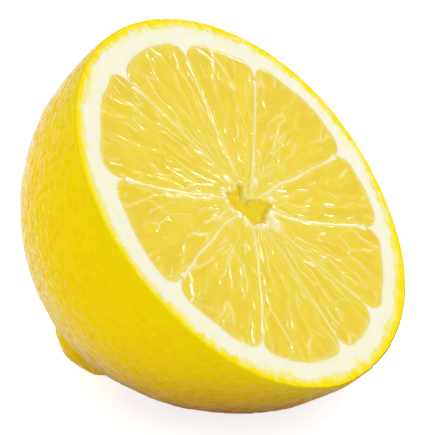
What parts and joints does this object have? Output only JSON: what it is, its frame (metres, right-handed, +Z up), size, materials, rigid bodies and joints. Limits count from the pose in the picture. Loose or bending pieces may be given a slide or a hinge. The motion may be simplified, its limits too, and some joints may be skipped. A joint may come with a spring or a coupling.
{
  "type": "lemon half",
  "caption": "Half a fresh lemon, cut crosswise, leaning on its rounded side and nipple with the juicy cut face turned up and out.",
  "frame": {"origin": "on the table, under the middle of the half as it rests: the bottom centre of its bounding box", "axes": "+Z up from the table; +X across the cut face; the cut face looks towards -Y and up; the nipple points to +Y and down"},
  "size_m": [0.0584, 0.0502, 0.0507],
  "materials": {
    "peel": "satin",
    "pith": "matte",
    "pulp": "gloss"
  },
  "bodies": {
    "root": {"lemon_half": "peel"}
  },
  "joints": []
}
